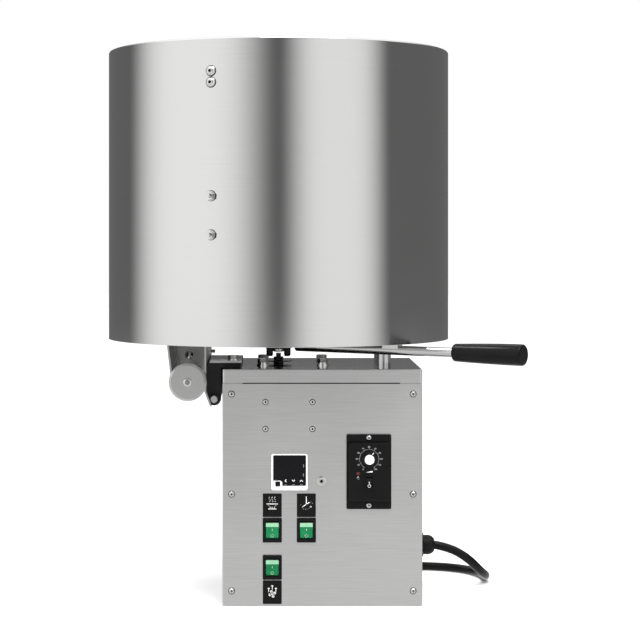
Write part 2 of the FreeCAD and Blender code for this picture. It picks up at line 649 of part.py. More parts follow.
def thermostat_bezel():
    """White square front frame."""
    bezel = rounded(box(span(THERMOSTAT_X, THERMOSTAT), (FRONT_Y - 4.5, FRONT_Y),
                        span(THERMOSTAT_Z, THERMOSTAT)), 2.5, Y_AXIS)
    bezel = bezel.cut(thermostat_window_shape())
    for place in KEYS.values():
        bezel = bezel.cut(key_well(*place))
    return bezel


def thermostat_window_shape():
    """Window with its lower left corner scooped out round the set key."""
    window = rounded(box(WINDOW_X, (FRONT_Y - 5, FRONT_Y - 2.5), WINDOW_Z), 1.5, Y_AXIS)
    return window.cut(rounded(box(SCOOP_X, (FRONT_Y - 6, FRONT_Y), SCOOP_Z), SCOOP_R, Y_AXIS))


def thermostat_window():
    """Smoked display window."""
    window = thermostat_window_shape()
    for place in KEYS.values():
        window = window.cut(key_well(*place))
    return window


def thermostat_body():
    """Electronics case behind the panel."""
    body = box(span(THERMOSTAT_X, 44.8), (FRONT_Y, FRONT_Y + 60), span(THERMOSTAT_Z, 44.8))
    for place in KEYS.values():
        body = body.cut(key_well(*place))
    return body


def key(x, z, size):
    """Push key, standing just proud of the window."""
    return rounded(box(span(x, size), (FRONT_Y - 5.7, FRONT_Y + 1.6), span(z, size)), 0.8, Y_AXIS)


# ---------------------------------------------------------------- speed control

def speed_control_case():
    """Case with a flange on the panel, a raised front and a body behind."""
    flange = rounded(box(span(SPEED_X, 59.6), (FRONT_Y - 3, FRONT_Y), span(SPEED_Z, 99.3)), 2.0, Y_AXIS)
    raised = rounded(box(span(SPEED_X, 54.0), (SPEED_FACE_Y, FRONT_Y - 3), span(SPEED_Z + 0.35, 77.4)),
                     2.5, Y_AXIS)
    raised = raised.makeChamfer(1.2, [e for e in raised.Edges
                                      if all(abs(v.Y - SPEED_FACE_Y) < 0.001 for v in e.Vertexes)])
    body = box(span(SPEED_X, 49.8), (FRONT_Y, FRONT_Y + 38), span(SPEED_Z, 73.8))
    case = merged(flange, raised, body)
    case = case.cut(disc(3 + RUNNING, (KNOB[0], SPEED_FACE_Y - 1, KNOB[1]), Y_AXIS, 14))
    case = case.cut(disc(2.5, (LAMP[0], SPEED_FACE_Y - 1, LAMP[1]), Y_AXIS, 4))
    return case.cut(box(span(MINI_SWITCH[0], 12.6), (SPEED_FACE_Y - 1, SPEED_FACE_Y + 14),
                        span(MINI_SWITCH[1], 17.0)))


def speed_control_lamp():
    """Power lamp with a rounded lens."""
    return turned([(0, -3), (2.5, -3), (2.5, 0.2), ((2.1, 1.0), (1.0, 1.4)), (0, 1.4)],
                  (LAMP[0], SPEED_FACE_Y, LAMP[1]), V(0, -1, 0))


def speed_knob():
    """Skirted knob with a raised centre and its spindle."""
    skirt = turned([(0, 0.5), (12, 0.5), (12, 2.4), (11, 3.4), (6.9, 3.9), (6.3, 4.4), (6.3, 11.4),
                    (5.7, 12), (0, 12)], (KNOB[0], SPEED_FACE_Y, KNOB[1]), V(0, -1, 0))
    return merged(skirt, disc(3.0, (KNOB[0], SPEED_FACE_Y - 1, KNOB[1]), Y_AXIS, 12))


# ---------------------------------------------------------------- fan

def fan_frame():
    """Square fan housing with its motor boss on four struts."""
    inner = REAR_Y - SHEET
    y = (inner - FAN_DEPTH, inner)
    frame = rounded(box(span(FAN_X, FAN_SIZE), y, span(FAN_Z, FAN_SIZE)), 4.0, Y_AXIS)
    frame = frame.cut(disc(38.2, (FAN_X, y[0] - 1, FAN_Z), Y_AXIS, FAN_DEPTH + 2))
    boss = disc(15, (FAN_X, y[0], FAN_Z), Y_AXIS, 3)
    struts = []
    for turn in (45, 135):
        strut = box(span(FAN_X, 79), (y[0], y[0] + 3), span(FAN_Z, 5))
        struts.append(turned_about(strut, (FAN_X, 0, FAN_Z), Y_AXIS, turn))
    return merged(frame, boss, *struts).cut(disc(2 + RUNNING, (FAN_X, y[0] - 1, FAN_Z), Y_AXIS, 6))


def fan_rotor():
    """Fan hub with seven pitched blades and its spindle."""
    low = REAR_Y - SHEET - FAN_DEPTH
    blades = []
    for i in range(7):
        blade = box((14, 36.5), (-7.0, 7.0), (-0.9, 0.9))
        blade.rotate(V(0, 0, 0), X_AXIS, 38)
        blade.translate(V(0, low + 14, 0))
        blade.rotate(V(0, 0, 0), Y_AXIS, i * 360 / 7)
        blade.translate(V(FAN_X, 0, FAN_Z))
        blades.append(blade)
    hub = disc(16, (FAN_X, low + 5, FAN_Z), Y_AXIS, 17)
    return merged(hub, disc(2, (FAN_X, low + 0.5, FAN_Z), Y_AXIS, 6), *blades)


def fan_guard():
    """Wire guard of rings on two crossed bars, screwed over the fan's opening."""
    rings = [ring(r + 1.1, r - 1.1, (FAN_X, REAR_Y + 1.5, FAN_Z), Y_AXIS, 2.2) for r in (8, 16, 24, 32, 39)]
    bars = []
    for turn in (45, 135):
        bar = box(span(FAN_X, 98), (REAR_Y, REAR_Y + 2.0), span(FAN_Z, 2.6))
        bars.append(turned_about(bar, (FAN_X, 0, FAN_Z), Y_AXIS, turn))
    return merged(bars[0], bars[1], *rings)


# ---------------------------------------------------------------- power cord

def cable_gland():
    """Hexagonal gland with a domed nut that narrows to the cord."""
    base = (SIDE_X, GLAND_Y, GLAND_Z)
    length = GLAND_END_X - SIDE_X
    body = hexagon(28.5, base, X_AXIS, 10)
    dome = turned([(0, 9), (13.6, 9), (13.6, 15), ((12.4, 20.8), (8.8, length)), (0, length)], base, X_AXIS)
    thread = disc(10, (SIDE_X - 12, GLAND_Y, GLAND_Z), X_AXIS, 14)
    nut = hexagon(27.0, (SIDE_X - SHEET - 6, GLAND_Y, GLAND_Z), X_AXIS, 6)
    return merged(body, dome, thread, nut)


def round_route(points):
    """Wire of straight runs joined by arcs that fill 0.45 of the shorter run, with the arcs' radii."""
    edges, radii = [], []
    points = [V(*p) for p in points]
    here = points[0]
    for before, corner, after in zip(points, points[1:], points[2:]):
        into, out = (corner - before), (after - corner)
        trim = 0.45 * min(into.Length, out.Length)
        into.normalize()
        out.normalize()
        half_turn = into.getAngle(out) / 2
        radius = trim / math.tan(half_turn)
        start, end = corner - into * trim, corner + out * trim
        bisector = (out - into)
        bisector.normalize()
        middle = corner + bisector * (radius / math.cos(half_turn) - radius)
        edges.append(Part.LineSegment(here, start).toShape())
        edges.append(Part.Arc(start, middle, end).toShape())
        here = end
        radii.append(radius)
    edges.append(Part.LineSegment(here, points[-1]).toShape())
    return Part.Wire(edges), radii


def cord_tube(points):
    """Round cord along a route."""
    path, radii = round_route(points)
    start, direction = V(*points[0]), V(*points[1]) - V(*points[0])
    section = Part.Wire(Part.makeCircle(CORD_R, start, direction))
    tube = path.makePipeShell([section], True, False)
    expected = math.pi * CORD_R ** 2 * path.Length
    print("cord radii", [round(r) for r in radii], "length", round(path.Length, 1),
          "volume ratio", round(tube.Volume / expected, 4))
    return tube


def cord_coil():
    """Outer shape of the neat coil that takes up the rest of the cord."""
    outer, inner, high = COIL_MID_R + 2 * CORD_R, COIL_MID_R - 2 * CORD_R, 24.0
    return turned([(inner, 4), (inner + 4, 0), (outer - 4, 0), (outer, 4), (outer, 10), (outer - 7, high),
                   (inner + 7, high), (inner, 10)], (COIL_X, COIL_Y, 0))


def power_plug():
    """Moulded three-pin plug with its tapered strain relief, lying behind the cabinet."""
    start, end = PLUG_X
    y, z = TAIL_ROUTE[-1][1:]
    relief = turned([(0, 0), (7.6, 0), (9.6, 20), (0, 20)], (start, y, z), V(-1, 0, 0))
    body = rounded(rounded(box((end, start - 18), span(y, 32), span(z, 24)), 6.0, X_AXIS), 2.0, Z_AXIS)
    pins = [box((end - 17, end + 1), span(y + side * 6.35, 1.6), span(z + 3, 6.4)) for side in (-1, 1)]
    earth = disc(2.4, (end + 1, y, z - 6.2), V(-1, 0, 0), 20)
    return merged(relief, body, earth, *pins)


# ---------------------------------------------------------------- assembly

def without(solid, tools):
    """The solid with the room that other pieces need cut out of it."""
    return solid.cut(Part.makeCompound(list(tools)))


def motor_bolts():
    """Four hex bolts that hang the gearbox from the cover."""
    washers = ((8.5, 2.0), (6.9, 2.2))
    return [hex_bolt(GEARBOX_X + sx * MOTOR_BOLT_OFFSET, sy * MOTOR_BOLT_OFFSET, CABINET_H, 26, washers)
            for sx in (-1, 1) for sy in (-1, 1)]


def build_cabinet():
    """Write the cabinet, what is on it and what is in it."""
    screws, sockets = panel_screws(), socket_screws()
    bolts, hinge_screws, posts = motor_bolts(), hinge_bolts(), support_posts()
    gland = cable_gland()
    save("cabinet_body", without(cabinet_body(), screws + hinge_screws + [gland]))
    save("top_cover", without(top_cover(), bolts + hinge_screws + posts))
    save("front_panel", without(front_panel(), screws + sockets))
    save("rear_panel", without(rear_panel(), screws))
    save("panel_screws", *screws)
    save("socket_screws", *sockets)
    save("gearbox", without(gearbox(), bolts))
    save("motor", motor())
    save("motor_capacitor", motor_capacitor())
    save("power_relay", without(power_relay(), sockets))
    save("solid_state_relay", solid_state_relay())
    save("terminal_block", terminal_block())
    save("hex_bolts", *bolts, *hinge_screws)
    save("hinge_bracket", without(hinge_bracket(), hinge_screws))
    save("hinge_clamps", without(hinge_clamps(), hinge_screws))
    save("hinge_pin", hinge_pin())
    save("support_posts", *posts)
    save("fan_frame", fan_frame())
    save("fan_guard", fan_guard())
    save("fan_rotor", fan_rotor())
    build_controls(screws)
    save("cable_gland", gland)
    save("power_cord", cord_tube(CORD_ROUTE))
    save("power_cord_coil", cord_coil())
    save("power_cord_tail", cord_tube(TAIL_ROUTE))
    save("power_plug", power_plug())


def build_controls(screws):
    """Write the controls on the front panel."""
    save("switch_housings", *switch_housings())
    save("label_plates", *label_plates())
    for name, (x, z) in SWITCH_COLUMN.items():
        save(name + "_rocker", rocker_shape(x, z, FRONT_Y, ROCKER_W, ROCKER_H, ROCKER_DEPTH))
    save("thermostat_bezel", thermostat_bezel())
    save("thermostat_window", thermostat_window())
    save("thermostat_body", thermostat_body())
    for name, place in KEYS.items():
        save(name, key(*place))
    save("speed_control_case", without(speed_control_case(), screws))
    save("speed_control_lamp", speed_control_lamp())
    save("speed_knob", speed_knob())
    save("mini_switch_housing", mini_switch_housing())
    save("mini_rocker", rocker_shape(*MINI_SWITCH, SPEED_FACE_Y, 9.0, 12.4, MINI_DEPTH))


def build_drum():
    """Write the drum, what is under it and what turns in it."""
    fasteners, brackets = wall_fasteners(), bracket_fasteners()
    save("drum_shell", without(drum_shell(), fasteners))
    save("drum_base_plate", drum_base_plate())
    save("kettle_bowl", kettle_bowl())
    save("insulation", insulation())
    save("heater_plate", heater_plate())
    save("agitator_bearing", agitator_bearing())
    save("wall_fasteners", *fasteners)
    save("wall_baffle", without(wall_baffle(), fasteners))
    save("tilt_bracket", without(tilt_bracket(), brackets))
    save("stop_roller", without(stop_roller(), brackets))
    save("bracket_fasteners", *brackets)
    save("handle_rod", handle_rod())
    save("handle_saddles", *handle_saddles())
    save("handle_grip", handle_grip())
    save("agitator", agitator())
    save("agitator_coupling", agitator_coupling())
    save("output_shaft", output_shaft())


os.makedirs("parts", exist_ok=True)
build_cabinet()
build_drum()
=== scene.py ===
"""Looks of the tilting-kettle nut roaster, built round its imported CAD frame. Metres, +Z up."""

import json
import math

import bmesh
import bpy
from mathutils import Matrix, Vector


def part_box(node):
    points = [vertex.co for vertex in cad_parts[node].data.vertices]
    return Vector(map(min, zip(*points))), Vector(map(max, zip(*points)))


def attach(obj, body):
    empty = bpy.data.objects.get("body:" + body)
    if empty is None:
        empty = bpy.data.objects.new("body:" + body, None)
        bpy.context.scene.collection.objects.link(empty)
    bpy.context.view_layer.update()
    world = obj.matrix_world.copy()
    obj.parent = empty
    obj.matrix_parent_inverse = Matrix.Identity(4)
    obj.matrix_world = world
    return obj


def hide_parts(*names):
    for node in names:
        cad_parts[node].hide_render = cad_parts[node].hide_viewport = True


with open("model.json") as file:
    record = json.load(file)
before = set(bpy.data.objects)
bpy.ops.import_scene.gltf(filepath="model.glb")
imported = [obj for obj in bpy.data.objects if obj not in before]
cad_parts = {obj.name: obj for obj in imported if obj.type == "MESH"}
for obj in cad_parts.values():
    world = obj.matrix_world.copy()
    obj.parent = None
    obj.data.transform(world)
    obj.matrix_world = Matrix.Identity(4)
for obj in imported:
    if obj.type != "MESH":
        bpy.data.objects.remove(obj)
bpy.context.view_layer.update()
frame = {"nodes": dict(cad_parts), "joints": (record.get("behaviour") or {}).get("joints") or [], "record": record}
nodes = frame["nodes"]

MM = 0.001
DRUM_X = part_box("drum_shell")[0].x + (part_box("drum_shell")[1].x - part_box("drum_shell")[0].x) / 2
FRONT_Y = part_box("front_panel")[0].y
SPEED_FACE_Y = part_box("speed_control_case")[0].y
PIVOTS = {joint["child"]: joint["pos_m"] for joint in frame["joints"] if "pos_m" in joint}
KNOB = (PIVOTS["speed_knob"][0] / MM, PIVOTS["speed_knob"][2] / MM)
DRUM_R = 0.236
FASTENER_AZIMUTH = math.radians(21.5)
# ends in x of the black strip that paints the shade in the seam under the cover
SEAM_SHADE_X = (-0.1065, 0.1035)

# ---------------------------------------------------------------- camera

LENS, SHIFT_X, SHIFT_Y = 105.7, 0.0648, -0.1275
CAMERA_Y, CAMERA_Z = -2.625, 0.4904

camera_data = bpy.data.cameras.new("camera")
camera_data.lens = LENS
camera_data.shift_x = SHIFT_X
camera_data.shift_y = SHIFT_Y
camera_data.clip_end = 60.0
camera = bpy.data.objects.new("camera", camera_data)
camera.location = (DRUM_X, CAMERA_Y, CAMERA_Z)
camera.rotation_euler = (math.radians(90), 0, 0)
bpy.context.scene.collection.objects.link(camera)
bpy.context.scene.camera = camera


# ---------------------------------------------------------------- mesh helpers

def new_object(name, data, body):
    """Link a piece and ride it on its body."""
    piece = bpy.data.objects.new(name, data)
    bpy.context.scene.collection.objects.link(piece)
    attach(piece, body)
    return piece


def mesh_from(name, build, smooth=True):
    """Mesh filled by a bmesh function."""
    work = bmesh.new()
    build(work)
    bmesh.ops.recalc_face_normals(work, faces=work.faces)
    mesh = bpy.data.meshes.new(name)
    work.to_mesh(mesh)
    work.free()
    for face in mesh.polygons:
        face.use_smooth = smooth
    return mesh


def frame_to(base, axis):
    """Matrix that carries +Z at the origin to an axis at a base point."""
    turn = Vector(axis).to_track_quat("Z", "Y").to_matrix().to_4x4()
    return Matrix.Translation(Vector(base)) @ turn


def arc(centre, radius, start, end, steps):
    """Points (radius, height) along an arc, angles in degrees."""
    points = []
    for i in range(steps + 1):
        a = math.radians(start + (end - start) * i / steps)
        points.append((centre[0] + radius * math.cos(a), centre[1] + radius * math.sin(a)))
    return points


def lathe(work, profile, base=(0, 0, 0), axis=(0, 0, 1), segments=96, closed=False):
    """Revolve (radius, height) points, in millimetres, about an axis; a radius of 0 closes an end."""
    place = frame_to(base, axis)
    rings = []
    for radius, height in profile:
        if radius < 1e-6:
            rings.append([work.verts.new(place @ Vector((0, 0, height * MM)))])
            continue
        rings.append([work.verts.new(place @ Vector((radius * MM * math.cos(2 * math.pi * i / segments),
                                                     radius * MM * math.sin(2 * math.pi * i / segments),
                                                     height * MM))) for i in range(segments)])
    pairs = list(zip(rings, rings[1:])) + ([(rings[-1], rings[0])] if closed else [])
    for low, high in pairs:
        for i in range(segments):
            j = (i + 1) % segments
            if len(low) == 1 and len(high) == 1:
                continue
            if len(low) == 1:
                work.faces.new((low[0], high[i], high[j]))
            elif len(high) == 1:
                work.faces.new((low[i], low[j], high[0]))
            else:
                work.faces.new((low[i], low[j], high[j], high[i]))


def turned_piece(name, profile, body, base, axis, replaces=(), segments=96, closed=False):
    """A lathe-turned piece with sharp corners kept by angle."""
    mesh = mesh_from(name, lambda work: lathe(work, profile, base, axis, segments, closed))
    piece = new_object(name, mesh, body)
    sharpen(piece)
    if replaces:
        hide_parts(*replaces)
    return piece


def sharpen(piece, degrees=32):
    """Mark the edges that turn by more than an angle as sharp."""
    mesh = piece.data
    work = bmesh.new()
    work.from_mesh(mesh)
    for edge in work.edges:
        if len(edge.link_faces) == 2 and edge.calc_face_angle(0) > math.radians(degrees):
            edge.smooth = False
    work.to_mesh(mesh)
    work.free()


# ---------------------------------------------------------------- cord

CORD_R = 0.006
CORD_ROUTE = [(0.1585, 0, 0.0626), (0.180, 0, 0.0588), (0.206, 0.004, 0.0435), (0.227, 0.024, 0.021),
              (0.240, 0.060, 0.007), (0.232, 0.108, 0.006), (0.196, 0.146, 0.006), (0.140, 0.158, 0.006),
              (0.074, 0.142, 0.006), (0.008, 0.140, 0.006)]
TAIL_ROUTE = [(-0.012, 0.146, 0.0182), (-0.034, 0.1465, 0.0176), (-0.057, 0.146, 0.0124)]
COIL_CENTRE = (0.0, 0.212)
COIL_TURNS, COIL_POINTS = 3, 16
COIL_OUTER, COIL_INNER, COIL_TOP_R, COIL_TOP_Z = 0.072, 0.060, 0.066, 0.0178
COIL_EASE = 0.25        # last part of a turn, in which the cord moves over to the next one


def coil_points():
    """Clockwise turns: one outside, one inside it, and one on top."""
    points = []
    for i in range(1, COIL_TURNS * COIL_POINTS - 1):
        turn = i / COIL_POINTS
        angle = math.radians(-90 - 360 * turn)
        if turn < 1:
            radius, height = COIL_OUTER, CORD_R
        elif turn < 2:
            radius, height = COIL_INNER, CORD_R
        else:
            radius, height = COIL_TOP_R, COIL_TOP_Z
        late = turn % 1 - (1 - COIL_EASE)
        if late > 0 and turn < 2:
            next_r, next_z = (COIL_INNER, CORD_R) if turn < 1 else (COIL_TOP_R, COIL_TOP_Z)
            radius += (next_r - radius) * late / COIL_EASE
            height += (next_z - height) * late / COIL_EASE
        points.append((COIL_CENTRE[0] + radius * math.cos(angle),
                       COIL_CENTRE[1] + radius * math.sin(angle), height))
    return points


def power_cord():
    """One NURBS curve from the gland to the plug."""
    curve = bpy.data.curves.new("mains_cord", "CURVE")
    curve.dimensions = "3D"
    curve.bevel_depth = 1.0     # the cord's radius is this times each point's radius
    curve.bevel_resolution = 6
    curve.resolution_u = 10
    curve.use_fill_caps = True
    spline = curve.splines.new("NURBS")
    points = CORD_ROUTE + coil_points() + TAIL_ROUTE
    spline.points.add(len(points) - 1)
    for point, place in zip(spline.points, points):
        point.co = (*place, 1.0)
        point.radius = CORD_R
    spline.order_u = 3
    spline.use_endpoint_u = True
    cord = new_object("mains_cord", curve, "cabinet")
    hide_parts("power_cord", "power_cord_coil", "power_cord_tail")
    return cord


cord = power_cord()


# ---------------------------------------------------------------- materials

class Shader:
    """A material's node tree, with short ways to add what the finishes share."""

    def __init__(self, name, colour, metallic, roughness, coat=0.0, anisotropic=0.0, specular=0.5):
        self.material = bpy.data.materials.new(name)
        self.material.use_nodes = True
        self.tree = self.material.node_tree
        self.body = self.tree.nodes["Principled BSDF"]
        self.body.inputs["Base Color"].default_value = (*colour, 1)
        self.body.inputs["Metallic"].default_value = metallic
        self.body.inputs["Roughness"].default_value = roughness
        self.body.inputs["Coat Weight"].default_value = coat
        self.body.inputs["Anisotropic"].default_value = anisotropic
        self.body.inputs["Specular IOR Level"].default_value = specular
        self.normal = None

    def node(self, kind, **values):
        made = self.tree.nodes.new(kind)
        for key, value in values.items():
            if key in made.inputs:
                made.inputs[key].default_value = value
            else:
                setattr(made, key, value)
        return made

    def link(self, source, target):
        self.tree.links.new(source, target)

    def noise(self, stretch, scale=1.0, detail=3.0, roughness=0.6):
        """Noise in the row's frame, stretched along its axes (features per metre)."""
        where = self.node("ShaderNodeTexCoord")
        mapping = self.node("ShaderNodeMapping")
        mapping.inputs["Scale"].default_value = stretch
        self.link(where.outputs["Object"], mapping.inputs["Vector"])
        noise = self.node("ShaderNodeTexNoise", Scale=scale, Detail=detail, Roughness=roughness)
        self.link(mapping.outputs["Vector"], noise.inputs["Vector"])
        return noise.outputs["Fac"]

    def spread(self, value, low, high, start=0.3, end=0.7):
        """Map a noise value to a range."""
        ranged = self.node("ShaderNodeMapRange")
        for key, number in (("From Min", start), ("From Max", end), ("To Min", low), ("To Max", high)):
            ranged.inputs[key].default_value = number
        self.link(value, ranged.inputs["Value"])
        return ranged.outputs["Result"]

    def tint(self, value, dark, light):
        """Base colour between two tones."""
        mix = self.node("ShaderNodeMix", data_type="RGBA")
        for socket in mix.inputs:
            if socket.type == "RGBA" and socket.name in "AB":
                socket.default_value = (*(dark if socket.name == "A" else light), 1)
        self.link(value, mix.inputs["Factor"])
        self.link(next(s for s in mix.outputs if s.type == "RGBA"), self.body.inputs["Base Color"])

    def rough(self, value):
        self.link(value, self.body.inputs["Roughness"])

    def bump(self, value, depth, strength=1.0):
        """Bump of a depth in metres; several chain."""
        made = self.node("ShaderNodeBump", Strength=strength, Distance=depth)
        self.link(value, made.inputs["Height"])
        if self.normal is not None:
            self.link(self.normal, made.inputs["Normal"])
        self.normal = made.outputs["Normal"]
        self.link(self.normal, self.body.inputs["Normal"])


def brushed(name, colour, roughness, stretch, anisotropic=0.6, depth=2e-6, contrast=0.06):
    """Stainless sheet with a fine grain along the short axes of the stretch."""
    made = Shader(name, colour, 1.0, roughness, anisotropic=anisotropic)
    grain = made.noise(stretch, 1.0, 4.0, 0.65)
    dark = tuple(c * (1 - contrast) for c in colour)
    light = tuple(min(1.0, c * (1 + contrast)) for c in colour)
    made.tint(made.spread(grain, 0.0, 1.0), dark, light)
    made.rough(made.spread(made.noise((9, 9, 9), 1.0, 2.0), roughness * 0.9, roughness * 1.12))
    made.bump(grain, depth)
    if anisotropic:
        tangent = made.node("ShaderNodeTangent", direction_type="RADIAL", axis="Z")
        made.link(tangent.outputs["Tangent"], made.body.inputs["Tangent"])
        made.body.inputs["Anisotropic Rotation"].default_value = 0.25
    return made.material


def plastic(name, colour, roughness, coat=0.0, grain_depth=4e-6, spots=900, variation=0.15, specular=0.5):
    """Moulded plastic with a fine spark-eroded texture and slight colour change."""
    made = Shader(name, colour, 0.0, roughness, coat=coat, specular=specular)
    fine = made.noise((spots,) * 3, 1.0, 2.0)
    broad = made.noise((30,) * 3, 1.0, 3.0)
    made.tint(made.spread(broad, 0.0, 1.0), tuple(c * (1 - variation) for c in colour),
              tuple(min(1, c * (1 + variation)) for c in colour))
    made.rough(made.spread(broad, roughness * 0.85, min(1.0, roughness * 1.2)))
    made.bump(fine, grain_depth)
    return made.material


def plated(name, colour, roughness, depth=1.5e-6, variation=0.08):
    """Plated or machined metal with slight smears."""
    made = Shader(name, colour, 1.0, roughness)
    broad = made.noise((140,) * 3, 1.0, 4.0)
    made.tint(made.spread(broad, 0.0, 1.0), tuple(c * (1 - variation) for c in colour),
              tuple(min(1, c * (1 + variation)) for c in colour))
    made.rough(made.spread(broad, roughness * 0.7, roughness * 1.5))
    made.bump(broad, depth)
    return made.material


def painted(name, colour, roughness, specular=0.5):
    """Black or grey paint with fine orange peel."""
    made = Shader(name, colour, 0.0, roughness, specular=specular)
    peel = made.noise((420,) * 3, 1.0, 2.0)
    made.tint(made.spread(made.noise((45,) * 3), 0.0, 1.0), tuple(c * 0.8 for c in colour),
              tuple(c * 1.25 for c in colour))
    made.rough(made.spread(peel, roughness * 0.9, roughness * 1.15))
    made.bump(peel, 1.2e-5)
    return made.material


finishes = {
    "drum_steel": brushed("drum_steel", (0.66, 0.66, 0.655), 0.10, (5, 5, 2600), 0.6, 6e-7, 0.03),
    "brushed_sheet": brushed("brushed_sheet", (0.68, 0.68, 0.675), 0.34, (22, 22, 1700), 0.5, 2.5e-6, 0.07),
    "polished_sheet": brushed("polished_sheet", (0.52, 0.52, 0.52), 0.09, (22, 22, 1700), 0.3, 8e-7, 0.04),
    "bowl_steel": brushed("bowl_steel", (0.62, 0.61, 0.60), 0.26, (60, 60, 900), 0.0, 2e-6, 0.06),
    "bracket_steel": brushed("bracket_steel", (0.60, 0.60, 0.595), 0.28, (40, 14, 900), 0.0, 2e-6, 0.05),
    "zinc_fasteners": plated("zinc_fasteners", (0.66, 0.66, 0.65), 0.12, 6e-7),
    "chrome_parts": plated("chrome_parts", (0.55, 0.55, 0.55), 0.12, 4e-7, 0.03),
    "black_steel": painted("black_steel", (0.012, 0.012, 0.013), 0.34, 0.25),
    "pin_steel": brushed("pin_steel", (0.60, 0.60, 0.595), 0.30, (700, 700, 700), 0.0, 2e-6, 0.05),
    "grip_plastic": plastic("grip_plastic", (0.003, 0.003, 0.003), 0.20, 0.0, 1e-6, specular=0.16),
    "black_plastic": plastic("black_plastic", (0.004, 0.004, 0.0045), 0.36, specular=0.15),
    "white_plastic": plastic("white_plastic", (0.80, 0.80, 0.80), 0.32, variation=0.03),
    "window": plastic("window", (0.004, 0.004, 0.005), 0.12, 0.0, 2e-7, specular=0.15),
    "green_rocker": plastic("green_rocker", (0.006, 0.16, 0.055), 0.26, 0.0, 1e-6, variation=0.2, specular=0.2),
    # lighter green for the rockers' upper bevel, a painted highlight
    "green_painted_highlight": plastic("green_painted_highlight", (0.22, 0.42, 0.27), 0.30, 0.0, 1e-6, variation=0.1, specular=0.3),
    "shadow": plastic("shadow", (0.004, 0.004, 0.004), 0.7, specular=0.05),
    "lamp_red": plastic("lamp_red", (0.07, 0.006, 0.006), 0.12, 0.2, 3e-7),
    "motor_cast": painted("motor_cast", (0.22, 0.23, 0.24), 0.5),
    "capacitor_can": plated("capacitor_can", (0.72, 0.72, 0.73), 0.35),
    "insulation": plastic("insulation", (0.72, 0.68, 0.55), 0.95, 0.0, 2e-4, 400),
    "guard_wire": plated("guard_wire", (0.68, 0.68, 0.68), 0.2),
    "white_ink": plastic("white_ink", (0.78, 0.78, 0.78), 0.5, variation=0.05),
    "pale_ink": plastic("pale_ink", (0.42, 0.62, 0.47), 0.4, variation=0.05),
    "grey_ink": plastic("grey_ink", (0.46, 0.46, 0.47), 0.5, variation=0.05),
    "satin_cap": plastic("satin_cap", (0.80, 0.80, 0.80), 0.3, variation=0.03),
    "cord_rubber": plastic("cord_rubber", (0.003, 0.003, 0.003), 0.20, 0.0, 2e-6, 500, specular=0.16),
}


FACES_UP = 0.9      # least upward share of a normal on the cover's top face


def finish_piece(piece, name):
    """Give a piece one finish."""
    piece.data.materials.clear()
    piece.data.materials.append(finishes[name])


def finish_cad():
    """Give every CAD node its slot's finish, and the cover's top face a polish."""
    for entry in frame["record"]["subparts"]:
        finish_piece(nodes[entry["node"]], entry["material_slot"])
    cover = nodes["top_cover"].data
    cover.materials.append(finishes["polished_sheet"])
    for face in cover.polygons:
        if face.normal.z > FACES_UP:
            face.material_index = 1


finish_cad()
finish_piece(cord, "cord_rubber")


# ---------------------------------------------------------------- drum

def drum_wall():
    """The sheet wall with its rolled rim, smooth enough for sharp reflections."""
    low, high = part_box("drum_shell")
    outer, inner, bead = DRUM_R / MM, 234.8, 2.5
    bottom, top = low.z / MM, high.z / MM
    profile = [(inner, bottom), (outer - 0.3, bottom), (outer, bottom + 0.3), (outer, top - bead)]
    profile += arc((outer - bead, top - bead), bead, 0, 270, 18)[1:]
    profile += [(inner, top - 2 * bead + 0.2)]
    wall = turned_piece("drum_wall", profile, "drum", (DRUM_X, 0, 0), (0, 0, 1),
                        ["drum_shell"], segments=360, closed=True)
    finish_piece(wall, "drum_steel")


def bowl():
    """The pressed cooking bowl and its flange."""
    low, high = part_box("kettle_bowl")
    floor, rim = low.z / MM, high.z / MM
    outer, corner = 225.0, 45.0
    flange, bore, sheet = 234.7, 17, 2
    profile = [(bore, floor), (outer - corner, floor)]
    profile += arc((outer - corner, floor + corner), corner, -90, 0, 14)[1:]
    profile += [(outer, rim - sheet), (flange, rim - sheet), (flange, rim), (outer + 1, rim)]
    profile += arc((outer + 1, rim - 3), 3, 90, 180, 6)[1:]
    profile += [(outer - sheet, floor + corner)]
    profile += arc((outer - corner, floor + corner), corner - sheet, 0, -90, 14)[1:]
    profile += [(bore, floor + sheet)]
    piece = turned_piece("bowl", profile, "drum", (DRUM_X, 0, 0), (0, 0, 1), ["kettle_bowl"],
                         segments=240, closed=True)
    finish_piece(piece, "bowl_steel")


drum_wall()
bowl()


# ---------------------------------------------------------------- handle

HANDLE_ANGLE = math.radians(-34)
HANDLE_Z = 0.3404
HANDLE_AXIS = (math.cos(HANDLE_ANGLE), math.sin(HANDLE_ANGLE), 0)


def handle():
    """Polished rod and moulded grip."""
    base = (DRUM_X, 0, HANDLE_Z)
    rod = [(0, 30), (5.6, 30), (6.35, 30.8), (6.35, 279.5), (0, 279.5)]
    piece = turned_piece("lift_rod", rod, "drum", base, HANDLE_AXIS, ["handle_rod"], 64)
    finish_piece(piece, "chrome_parts")
    grip = [(6.3, 279.4), (9.4, 279.0)] + arc((9.4, 281.4), 2.4, -90, 0, 6)[1:]
    for i in range(1, 13):
        grow = i / 12
        grip.append((11.8 + 2.2 * math.sin(grow * math.pi / 2), 281.4 + 93.0 * grow))
    grip += arc((11.4, 377.4), 2.6, 0, 90, 8)[1:] + [(10.6, 380.0), (10.2, 379.6), (0, 379.6)]
    piece = turned_piece("lift_grip", grip, "drum", base, HANDLE_AXIS, ["handle_grip"], 96)
    finish_piece(piece, "grip_plastic")


handle()


# ---------------------------------------------------------------- flat marks

MARK = 0.00008      # thickness of a flat mark, printed or painted shade
